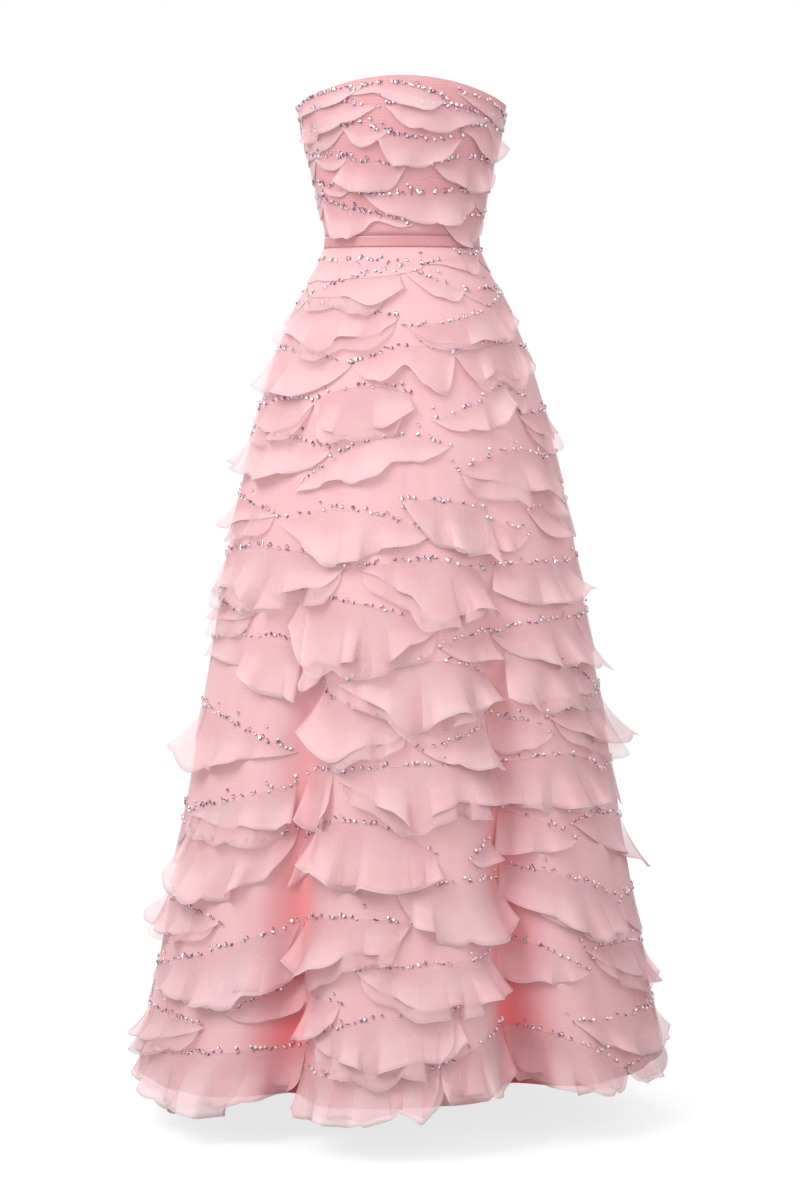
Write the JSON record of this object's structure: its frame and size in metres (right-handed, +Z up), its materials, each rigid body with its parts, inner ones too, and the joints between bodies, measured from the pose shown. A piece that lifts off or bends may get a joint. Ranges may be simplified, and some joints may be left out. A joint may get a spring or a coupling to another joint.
{
  "type": "strapless gown",
  "caption": "Hollow worn strapless gown: fitted bodice, narrow satin waistband and full floor-length skirt, covered in beaded petal ruffles.",
  "frame": {"origin": "middle of the waistband, on the axis of the body that wears it, where the gown is held", "axes": "+Z up along the body, front faces -Y, +X is on the right when the front is seen"},
  "size_m": [0.7719, 0.7591, 1.4037],
  "materials": {
    "tulle": "matte fine net over lining",
    "satin": "soft satin",
    "organza": "sheer crisp organza",
    "crystal": "faceted, iridescent",
    "silver_bead": "polished"
  },
  "bodies": {
    "root": {"bodice_front": "tulle", "bodice_back_left": "tulle", "bodice_back_right": "tulle", "waistband_front": "satin", "waistband_back_left": "satin", "waistband_back_right": "satin", "skirt_front": "tulle", "skirt_back_left": "tulle", "skirt_back_right": "tulle", "bodice_ruffle_1_front": "organza", "bodice_ruffle_1_back": "organza", "bodice_ruffle_2_front": "organza", "bodice_ruffle_2_back": "organza", "bodice_ruffle_3_front": "organza", "bodice_ruffle_3_back": "organza", "bodice_ruffle_4_front": "organza", "bodice_ruffle_4_back": "organza", "bodice_ruffle_5_front": "organza", "bodice_ruffle_5_back": "organza", "bodice_ruffle_6_front": "organza", "bodice_ruffle_6_back": "organza", "skirt_ruffle_00_front": "organza", "skirt_ruffle_00_back": "organza", "skirt_ruffle_01_front": "organza", "skirt_ruffle_01_back": "organza", "skirt_ruffle_02_front": "organza", "skirt_ruffle_02_back": "organza", "skirt_ruffle_03_front": "organza", "skirt_ruffle_03_back": "organza", "skirt_ruffle_04_front": "organza", "skirt_ruffle_04_back": "organza", "skirt_ruffle_05_front": "organza", "skirt_ruffle_05_back": "organza", "skirt_ruffle_06_front": "organza", "skirt_ruffle_06_back": "organza", "skirt_ruffle_07_front": "organza", "skirt_ruffle_07_back": "organza", "skirt_ruffle_08_front": "organza", "skirt_ruffle_08_back": "organza", "skirt_ruffle_09_front": "organza", "skirt_ruffle_09_back": "organza", "skirt_ruffle_10_front": "organza", "skirt_ruffle_10_back": "organza", "skirt_ruffle_11_front": "organza", "skirt_ruffle_11_back": "organza", "skirt_ruffle_12_front": "organza", "skirt_ruffle_12_back": "organza", "skirt_ruffle_13_front": "organza", "skirt_ruffle_13_back": "organza", "skirt_ruffle_14_front": "organza", "skirt_ruffle_14_back": "organza", "skirt_ruffle_15_front": "organza", "skirt_ruffle_15_back": "organza", "skirt_ruffle_16_front": "organza", "skirt_ruffle_16_back": "organza"}
  },
  "joints": []
}
